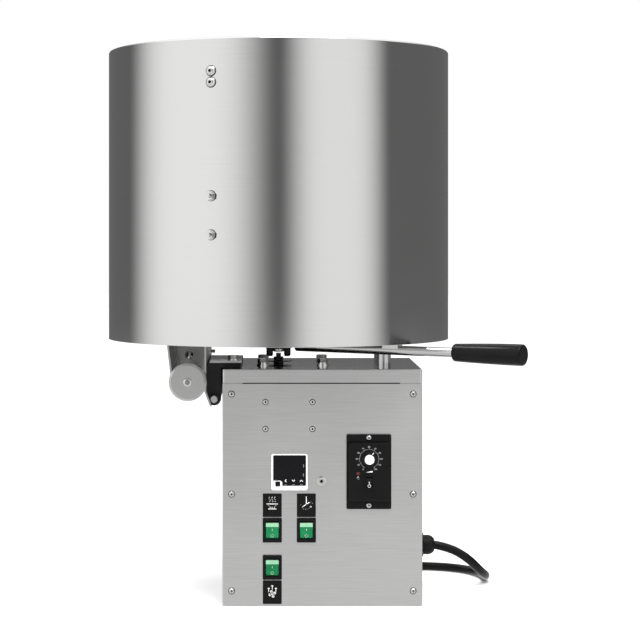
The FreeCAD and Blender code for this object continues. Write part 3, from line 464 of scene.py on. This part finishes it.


class Marks:
    """Flat marks, printed ones and patches of painted shade, on a vertical face that looks to -Y, drawn in
    millimetres round a centre.
    """

    def __init__(self, name, body, ink, face_y, centre=(0, 0), turn=None):
        self.name, self.body, self.ink, self.face_y = name, body, ink, face_y
        self.centre, self.turn = centre, turn
        self.work = bmesh.new()

    def prism(self, outline):
        """Thin prism over an outline."""
        back, front = [], []
        for x, z in outline:
            for y, ring in ((self.face_y + 0.00002, back), (self.face_y - MARK, front)):
                place = Vector(((self.centre[0] + x) * MM, y, (self.centre[1] + z) * MM))
                ring.append(self.work.verts.new(self.turn @ place if self.turn else place))
        self.work.faces.new(front)
        self.work.faces.new(back[::-1])
        for i in range(len(outline)):
            j = (i + 1) % len(outline)
            self.work.faces.new((front[i], front[j], back[j], back[i]))

    def line(self, points, width=0.7):
        """Round-ended strokes from point to point."""
        for (x0, z0), (x1, z1) in zip(points, points[1:]):
            heading = math.degrees(math.atan2(z1 - z0, x1 - x0))
            self.prism(arc((x0, z0), width / 2, heading + 90, heading + 270, 5)
                       + arc((x1, z1), width / 2, heading - 90, heading + 90, 5))

    def ring(self, centre, radius, start=0, end=360, width=0.7, steps=24):
        self.line(arc(centre, radius, start, end, steps), width)

    def disc(self, centre, radius):
        self.prism(arc(centre, radius, 0, 345, 23))

    def finish(self):
        bmesh.ops.recalc_face_normals(self.work, faces=self.work.faces)
        mesh = bpy.data.meshes.new(self.name)
        self.work.to_mesh(mesh)
        self.work.free()
        piece = new_object(self.name, mesh, self.body)
        finish_piece(piece, self.ink)


def wave(x, low, high, swing=0.9, steps=10):
    """Upright wavy line."""
    return [(x + swing * math.sin(2 * math.pi * i / steps), low + (high - low) * i / steps)
            for i in range(steps + 1)]


def switch_symbols():
    """White symbols on the plates by the three switches: heating, stirring and air cooling."""
    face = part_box("label_plates")[0].y
    heat_x = (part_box("heat_rocker")[0].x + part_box("heat_rocker")[1].x) / 2 / MM
    mixer_x = (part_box("mixer_rocker")[0].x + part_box("mixer_rocker")[1].x) / 2 / MM
    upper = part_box("label_plates")[1].z / MM - 12.2
    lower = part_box("label_plates")[0].z / MM + 17.0

    heat = Marks("heat_symbol", "cabinet", "white_ink", face, (heat_x, upper))
    for x in (-3.6, 0, 3.6):
        heat.line(wave(x, 1.2, 7.6), 0.75)
    heat.ring((0, 0.2), 6.4, 200, 340, 0.9)
    heat.line([(-7.2, -1.6), (7.2, -1.6)], 0.9)
    heat.line([(-5.0, -8.2), (5.0, -8.2)], 0.9)
    for x in (-3.0, 0.0, 3.0):
        heat.line([(x, -6.9), (x, -5.6)], 0.8)
    heat.finish()

    mixer = Marks("mixer_symbol", "cabinet", "white_ink", face, (mixer_x, upper))
    mixer.line([(0, 8.0), (0, -2.0)], 0.9)
    mixer.line([(0, -2.0), (-5.4, -5.4)], 0.9)
    mixer.line([(0, -2.0), (5.4, 1.4)], 0.9)
    mixer.ring((-5.4, -2.8), 2.6, 190, 300, 0.8)
    mixer.ring((5.4, -1.2), 2.6, 10, 120, 0.8)
    mixer.ring((0, -2.0), 6.9, 215, 325, 0.7)
    mixer.line([(5.0, -4.9), (5.65, -5.95), (6.7, -5.0)], 0.7)
    mixer.finish()

    fan = Marks("fan_symbol", "cabinet", "white_ink", face, (heat_x, lower))
    for turn in range(0, 360, 90):
        heading = math.radians(turn + 20)
        tip = (3.3 * math.cos(heading), -3.6 + 3.3 * math.sin(heading))
        fan.disc(tip, 1.7)
        fan.line([(0, -3.6), tip], 1.5)
    for x, low in ((-4.8, -0.6), (0, 2.6), (4.8, -0.6)):
        fan.line([(x, low), (x, low + 5.4)], 0.8)
        fan.line([(x - 1.1, low + 4.2), (x, low + 5.5), (x + 1.1, low + 4.2)], 0.8)
    fan.finish()


# ---------------------------------------------------------------- fastener details and painted shade

def solids(node):
    """Lowest and highest corners of each separate solid of a node."""
    work = bmesh.new()
    work.from_mesh(nodes[node].data)
    bmesh.ops.remove_doubles(work, verts=work.verts, dist=1e-6)
    left, boxes = set(work.verts), []
    while left:
        front, island = [left.pop()], []
        while front:
            vertex = front.pop()
            island.append(vertex.co.copy())
            for edge in vertex.link_edges:
                other = edge.other_vert(vertex)
                if other in left:
                    left.remove(other)
                    front.append(other)
        boxes.append((Vector([min(p[k] for p in island) for k in range(3)]),
                      Vector([max(p[k] for p in island) for k in range(3)])))
    work.free()
    return sorted(boxes, key=lambda ends: tuple(ends[0]))


def screw_details():
    """Painted shade: black crosses and discs for the shade in the screws' recesses, and black rings for the shade
    under each screw head on the front.
    """
    recess_shade = Marks("screw_recess_shade", "cabinet", "shadow", 0)
    gap_shade = Marks("screw_gap_shade", "cabinet", "shadow", 0)
    for node, depth in (("panel_screws", 0.0003), ("socket_screws", 0.0005)):
        for low, high in solids(node):
            if low.y > FRONT_Y:
                continue
            centre = Vector(((low.x + high.x) / 2 / MM, (low.z + high.z) / 2 / MM))
            radius = (high.x - low.x) / 2 / MM
            recess_shade.centre = gap_shade.centre = centre
            recess_shade.face_y = low.y + depth
            if node == "panel_screws":
                recess_shade.line([(-1.75, 0), (1.75, 0)], 0.8)
                recess_shade.line([(0, -1.75), (0, 1.75)], 0.8)
            else:
                recess_shade.disc((0, 0), 1.15 if radius < 5 else 1.95)
            if low.y > SPEED_FACE_Y + 0.006:
                gap_shade.face_y = FRONT_Y
                # black ring as painted shade under the head
                gap_shade.ring((0, 0), radius + 0.22, width=0.75, steps=28)
    recess_shade.finish()
    gap_shade.finish()


def wall_fastener_details():
    """Painted shade: black rings for the shade round the fasteners on the drum's wall, and black discs for the
    shade in the sockets of the top two.
    """
    turn = (Matrix.Translation((DRUM_X, 0, 0)) @ Matrix.Rotation(-FASTENER_AZIMUTH, 4, "Z")
            @ Matrix.Translation((-DRUM_X, 0, 0)))
    marks = Marks("wall_fastener_shade", "drum", "shadow", -DRUM_R, turn=turn)
    heights = sorted((low.z + high.z) / 2 / MM for low, high in solids("wall_fasteners"))
    for height in heights:
        marks.centre = (DRUM_X / MM, height)
        marks.face_y = -DRUM_R - 0.00005
        marks.ring((0, 0), 6.75, width=0.9, steps=32)
    # black discs as painted shade in the sockets
    for height in heights[-2:]:
        marks.centre = (DRUM_X / MM, height)
        marks.face_y = -DRUM_R - 0.0030
        marks.disc((0, 0), 1.9)
    marks.finish()


def cover_gasket():
    """Painted shade: a black strip in the gap between the panel and the cover's skirt, standing in for the shade
    in the seam.
    """
    panel_top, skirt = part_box("front_panel")[1].z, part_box("top_cover")[0].z
    low = Vector((SEAM_SHADE_X[0], FRONT_Y + 0.0003, panel_top - 0.0001))
    high = Vector((SEAM_SHADE_X[1], FRONT_Y + 0.0022, skirt + 0.0001))

    def build(work):
        made = bmesh.ops.create_cube(work, size=1)
        for vertex in made["verts"]:
            vertex.co = [low[k] + (vertex.co[k] + 0.5) * (high[k] - low[k]) for k in range(3)]
        bmesh.ops.bevel(work, geom=work.edges[:], offset=0.0003, segments=2, affect="EDGES")

    piece = new_object("cover_gasket", mesh_from("cover_gasket", build), "cabinet")
    finish_piece(piece, "shadow")


# ---------------------------------------------------------------- rocker switches

ROCKER_TILT = math.radians(10)
SWITCHES = {      # width, height, depth of the rocker, size of its marks
    "heat_rocker": (17.2, 20.4, 9.0, 20.4), "mixer_rocker": (17.2, 20.4, 9.0, 20.4),
    "fan_rocker": (17.2, 20.4, 9.0, 20.4), "mini_rocker": (9.0, 12.4, 6.0, 21.0)}


def rocker(node, face, centre, finish, light, ink):
    """Saddle-shaped rocker whose upper bevel, in a lighter finish as a painted highlight, fills the top of its
    opening, with I and O marks.
    """
    width, height, depth, mark = SWITCHES[node]
    x, z = centre
    pivot = Vector((0, face + depth * 0.55 * MM, z * MM))
    turn = Matrix.Translation(pivot) @ Matrix.Rotation(ROCKER_TILT, 4, "X") @ Matrix.Translation(-pivot)
    half, crest = height / 2, height * 0.30
    saddle = 15     # points along the saddle, less one

    def front(up):
        """Depth in front of the pivot face at a height on the saddle, as a share of the depth."""
        return -0.30 + 0.16 * math.cos(math.pi * up / (2 * crest)) ** 2 if abs(up) < crest else -0.30

    outline = [(0.10, half + 0.5), (-0.06, half + 0.3)]
    outline += [(front(up), up) for up in (crest - 2 * crest * i / saddle for i in range(saddle + 1))]
    outline += [(-0.24, -half * 0.93), (-0.14, -half), (0.6, -half * 0.86), (1.0, 0), (0.6, half * 0.86)]
    sides = ((-width / 2, 0.5), (-width / 2 + 0.5, 0.0), (width / 2 - 0.5, 0.0), (width / 2, 0.5))

    def build(work):
        sections = []
        for across, inset in sides:
            section = []
            for share, up in outline:
                shrink = 1 - inset / half
                place = Vector((x + across, face / MM + share * depth + inset * (share < 0), z + up * shrink))
                section.append(work.verts.new(turn @ (place * MM)))
            sections.append(section)
        for first, second in zip(sections, sections[1:]):
            for i in range(len(outline)):
                j = (i + 1) % len(outline)
                side = work.faces.new((first[i], first[j], second[j], second[i]))
                # the first two bands are the upper bevel, which gets the lighter finish as a painted highlight
                side.material_index = 1 if i < 2 else 0
        work.faces.new(sections[0])
        work.faces.new(sections[-1][::-1])

    piece = new_object(f"{node}_cap", mesh_from(f"{node}_cap", build), node)
    sharpen(piece, 24)
    for name in (finish, light):
        piece.data.materials.append(finishes[name])
    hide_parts(node)
    marks = Marks(f"{node}_marks", node, ink, 0, centre, turn)
    for up, draw in ((0.13 * height, "bar"), (-0.30 * height, "ring")):
        marks.face_y = face + front(up) * depth * MM - 0.00012
        if draw == "bar":
            marks.line([(0, up + 0.10 * mark), (0, up - 0.10 * mark)], 0.032 * mark)
        else:
            marks.ring((0, up), 0.092 * mark, width=0.034 * mark)
    marks.finish()


# ---------------------------------------------------------------- speed control

POINTER = math.radians(35)
RIB_START, RIB_DEPTH = 0.0115, 0.00024      # radius from which the knob's skirt is ribbed, and how deep
DIGITS = {
    "0": [[(0, 0.2), (0, 0.8), (0.3, 1), (0.6, 0.8), (0.6, 0.2), (0.3, 0), (0, 0.2)]],
    "1": [[(0.1, 0.8), (0.35, 1), (0.35, 0)]],
    "2": [[(0, 0.8), (0.3, 1), (0.6, 0.75), (0, 0), (0.6, 0)]],
    "3": [[(0, 1), (0.6, 1), (0.25, 0.6), (0.6, 0.3), (0.3, 0), (0, 0.12)]],
    "4": [[(0.45, 0), (0.45, 1), (0, 0.3), (0.6, 0.3)]],
    "5": [[(0.6, 1), (0, 1), (0, 0.55), (0.45, 0.6), (0.6, 0.3), (0.4, 0), (0, 0.05)]],
    "6": [[(0.5, 1), (0.1, 0.6), (0, 0.25), (0.3, 0), (0.6, 0.25), (0.3, 0.5), (0.05, 0.35)]],
    "7": [[(0, 1), (0.6, 1), (0.2, 0)]],
    "8": [[(0.3, 0.52), (0.05, 0.76), (0.3, 1), (0.55, 0.76), (0.3, 0.52), (0, 0.26), (0.3, 0), (0.6, 0.26),
           (0.3, 0.52)]],
    "9": [[(0.1, 0), (0.5, 0.4), (0.6, 0.75), (0.3, 1), (0, 0.75), (0.3, 0.5), (0.55, 0.65)]],
}


def write_number(marks, text, centre, size):
    """Number in plain strokes, centred."""
    pitch = 0.9 * size
    start = centre[0] - (pitch * (len(text) - 1) + 0.6 * size) / 2
    for place, digit in enumerate(text):
        for stroke in DIGITS[digit]:
            marks.line([(start + place * pitch + x * size, centre[1] + (z - 0.5) * size) for x, z in stroke],
                       0.22 * size)


def speed_dial():
    """Scale from 0 to 100 round the knob, and small symbols for power and for rising speed."""
    dial = Marks("speed_dial", "cabinet", "grey_ink", SPEED_FACE_Y, KNOB)
    dial.ring((0, 0), 12.8, -60, 240, 0.28, 40)
    for value in range(0, 101, 10):
        bearing = math.radians(240 - 3 * value)
        dial.line([(12.8 * math.cos(bearing), 12.8 * math.sin(bearing)),
                   (14.0 * math.cos(bearing), 14.0 * math.sin(bearing))], 0.35)
        write_number(dial, str(value), (16.3 * math.cos(bearing), 15.9 * math.sin(bearing)), 1.7)
    dial.finish()

    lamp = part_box("speed_control_lamp")
    lamp_x, lamp_z = (lamp[0].x + lamp[1].x) / 2 / MM, (lamp[0].z + lamp[1].z) / 2 / MM
    power = Marks("power_symbol", "cabinet", "white_ink", SPEED_FACE_Y, (lamp_x, lamp_z - 6.0))
    power.ring((0, 0), 1.6, 120, 420, 0.45)
    power.line([(0, 0.6), (0, 2.2)], 0.45)
    power.finish()

    wedge = Marks("speed_symbol", "cabinet", "white_ink", SPEED_FACE_Y, (KNOB[0], KNOB[1] - 17.0))
    wedge.prism([(-4.5, -0.9), (4.5, -0.9), (4.5, 1.1)])
    wedge.finish()


def speed_knob():
    """Black skirt with a white pointer and a satin cap."""
    base, out = (KNOB[0] * MM, SPEED_FACE_Y, KNOB[1] * MM), (0, -1, 0)
    ribs = 48

    def skirt(work):
        profile = [(0, 0.5), (11.6, 0.5), (12, 0.9), (12, 2.3)] + arc((10.9, 2.3), 1.1, 0, 80, 6)[1:]
        profile += [(7.4, 3.9), (6.9, 4.2), (6.5, 4.6), (6.5, 8.2), (0, 8.2)]
        lathe(work, profile, base, out, ribs * 2)
        for vertex in work.verts:
            from_axis = Vector((vertex.co.x - base[0], 0, vertex.co.z - base[2]))
            if from_axis.length > RIB_START:
                angle = math.atan2(from_axis.z, from_axis.x)
                vertex.co -= from_axis.normalized() * RIB_DEPTH / 2 * (1 + math.cos(ribs * angle))

    piece = new_object("knob_skirt", mesh_from("knob_skirt", skirt), "speed_knob")
    sharpen(piece)
    finish_piece(piece, "black_plastic")
    cap = [(0, 7.8), (6.3, 7.8), (6.3, 11.3)] + arc((5.6, 11.3), 0.7, 0, 90, 5)[1:] + [(0, 12)]
    cap_piece = turned_piece("knob_cap", cap, "speed_knob", base, out)
    finish_piece(cap_piece, "satin_cap")
    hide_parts("speed_knob")
    pointer = Marks("knob_pointer", "speed_knob", "white_ink", SPEED_FACE_Y - 0.00395, KNOB)
    heading = (math.sin(POINTER), math.cos(POINTER))
    pointer.line([(7.6 * heading[0], 7.6 * heading[1]), (10.2 * heading[0], 10.2 * heading[1])], 0.9)
    pointer.finish()
    line = Marks("cap_line", "speed_knob", "grey_ink", SPEED_FACE_Y - 0.012, KNOB)
    line.line([(2.2 * heading[0], 2.2 * heading[1]), (5.2 * heading[0], 5.2 * heading[1])], 0.7)
    line.finish()


# ---------------------------------------------------------------- temperature controller

def controller_marks():
    """Arrows on the three keys and small grey ticks beside the display."""
    arrows = {"shift_key": [(1.0, 1.6), (-0.9, 0), (1.0, -1.6)],
              "down_key": [(-1.6, 1.0), (0, -0.9), (1.6, 1.0)],
              "up_key": [(-1.6, -0.9), (0, 1.0), (1.6, -0.9)]}
    for node, points in arrows.items():
        low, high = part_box(node)
        finish_piece(nodes[node], "window")
        marks = Marks(f"{node}_arrow", node, "white_ink", low.y,
                      ((low.x + high.x) / 2 / MM, (low.z + high.z) / 2 / MM))
        marks.line(points, 0.9)
        marks.finish()
    low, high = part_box("thermostat_window")
    ticks = Marks("display_marks", "cabinet", "grey_ink", low.y, (high.x / MM, low.z / MM))
    for height in (26.5, 14.5):
        ticks.ring((-3.4, height), 1.0, width=0.4)
        ticks.line([(-3.4, height - 1.9), (-3.4, height + 1.9)], 0.4)
    for node in arrows:
        key_low, key_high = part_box(node)
        x = (key_low.x + key_high.x) / 2 / MM - high.x / MM
        ticks.line([(x - 1.4, 1.4), (x + 1.4, 1.4)], 0.35)
    ticks.finish()
    low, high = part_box("set_key")
    under = Marks("set_mark", "cabinet", "grey_ink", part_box("thermostat_bezel")[0].y,
                  ((low.x + high.x) / 2 / MM, low.z / MM - 2.0))
    under.line([(-1.6, 0), (1.6, 0)], 0.5)
    under.finish()


def switch_centre(node):
    """Centre of a rocker, in millimetres, from its joint."""
    place = PIVOTS[node]
    return place[0] / MM, place[2] / MM


screw_details()
wall_fastener_details()
cover_gasket()
switch_symbols()
for switch in ("heat_rocker", "mixer_rocker", "fan_rocker"):
    rocker(switch, FRONT_Y, switch_centre(switch), "green_rocker", "green_painted_highlight", "pale_ink")
rocker("mini_rocker", SPEED_FACE_Y, switch_centre("mini_rocker"), "black_plastic", "black_plastic",
       "white_ink")
speed_dial()
speed_knob()
controller_marks()


# ---------------------------------------------------------------- studio

# Glow of the room by height, and two tall soft boxes: bearing and half width in degrees, and strength
FLOOR_GLOW, HORIZON_GLOW, OVERHEAD_GLOW = 0.9, 0.15, 1.5
SOFT_BOXES = [(-60, 60, 1.0), (40, 40, 0.9)]


def studio():
    """A plain room, pale below and bright overhead, with a feathered soft box at each side of the front."""
    world = bpy.data.worlds.new("studio")
    bpy.context.scene.world = world
    world.use_nodes = True
    tree = world.node_tree
    tree.nodes.clear()

    def node(kind, **values):
        made = tree.nodes.new(kind)
        for key, value in values.items():
            setattr(made, key, value)
        return made

    where = node("ShaderNodeTexCoord")
    split = node("ShaderNodeSeparateXYZ")
    tree.links.new(where.outputs["Generated"], split.inputs[0])
    level = node("ShaderNodeVectorMath", operation="MULTIPLY")
    level.inputs[1].default_value = (1, 1, 0)
    tree.links.new(where.outputs["Generated"], level.inputs[0])
    flat = node("ShaderNodeVectorMath", operation="NORMALIZE")
    tree.links.new(level.outputs["Vector"], flat.inputs[0])
    total = None
    for bearing, reach, strength in SOFT_BOXES:
        turn = math.radians(bearing)
        facing = node("ShaderNodeVectorMath", operation="DOT_PRODUCT")
        facing.inputs[1].default_value = (math.sin(turn), -math.cos(turn), 0)
        tree.links.new(flat.outputs["Vector"], facing.inputs[0])
        feather = node("ShaderNodeMapRange", interpolation_type="SMOOTHSTEP")
        feather.inputs["From Min"].default_value = math.cos(math.radians(reach))
        feather.inputs["To Max"].default_value = strength
        tree.links.new(facing.outputs["Value"], feather.inputs["Value"])
        add = node("ShaderNodeMath", operation="ADD")
        add.inputs[1].default_value = HORIZON_GLOW
        if total is not None:
            tree.links.new(total, add.inputs[1])
        tree.links.new(feather.outputs["Result"], add.inputs[0])
        total = add.outputs[0]
    glow = total
    for start, end, value in ((0.35, 0.75, OVERHEAD_GLOW), (-0.05, -0.16, FLOOR_GLOW)):
        share = node("ShaderNodeMapRange", interpolation_type="SMOOTHSTEP")
        share.inputs["From Min"].default_value = start
        share.inputs["From Max"].default_value = end
        tree.links.new(split.outputs["Z"], share.inputs["Value"])
        mix = node("ShaderNodeMix", data_type="RGBA")
        tree.links.new(share.outputs["Result"], mix.inputs["Factor"])
        first, second = [s for s in mix.inputs if s.type == "RGBA"]
        tree.links.new(glow, first)
        second.default_value = (value, value, value, 1)
        glow = next(s for s in mix.outputs if s.type == "RGBA")

    light = node("ShaderNodeBackground")
    tree.links.new(glow, light.inputs["Color"])
    plain = node("ShaderNodeBackground")
    plain.inputs["Color"].default_value = (1, 1, 1, 1)
    path = node("ShaderNodeLightPath")
    choose = node("ShaderNodeMixShader")
    tree.links.new(path.outputs["Is Camera Ray"], choose.inputs[0])
    tree.links.new(light.outputs[0], choose.inputs[1])
    tree.links.new(plain.outputs[0], choose.inputs[2])
    tree.links.new(choose.outputs[0], node("ShaderNodeOutputWorld").inputs["Surface"])


def floor():
    """Round pale floor."""
    made = Shader("floor", (0.95, 0.95, 0.95), 0.0, 0.6, specular=0.1)
    made.rough(made.spread(made.noise((6,) * 3), 0.55, 0.7))
    mesh = mesh_from("floor", lambda work: lathe(work, [(0, 0), (2000, 0), (14000, 0)], segments=64))
    mesh.materials.append(made.material)
    piece = bpy.data.objects.new("floor", mesh)
    bpy.context.scene.collection.objects.link(piece)
    piece.visible_glossy = False


def soft_box(name, place, target, size, energy, mirrored):
    """Area light; an unmirrored one lights surfaces without showing in them."""
    data = bpy.data.lights.new(name, "AREA")
    data.shape = "RECTANGLE"
    data.size, data.size_y = size
    data.energy = energy
    light = bpy.data.objects.new(name, data)
    light.location = place
    light.rotation_euler = (Vector(target) - Vector(place)).to_track_quat("-Z", "Y").to_euler()
    light.visible_glossy = mirrored
    light.visible_camera = False
    bpy.context.scene.collection.objects.link(light)


studio()
floor()
soft_box("fill", (0.4, -2.2, 1.9), (0, 0, 0.3), (2.4, 1.6), 45, False)
soft_box("strip", (0.35, -1.1, 2.2), (0.05, 0, 0.3), (1.5, 0.22), 20, True)
soft_box("floor_wash", (0, 0.6, 4.5), (0, 0.6, 0), (5, 5), 120, False)
bpy.context.scene.view_settings.view_transform = "Standard"
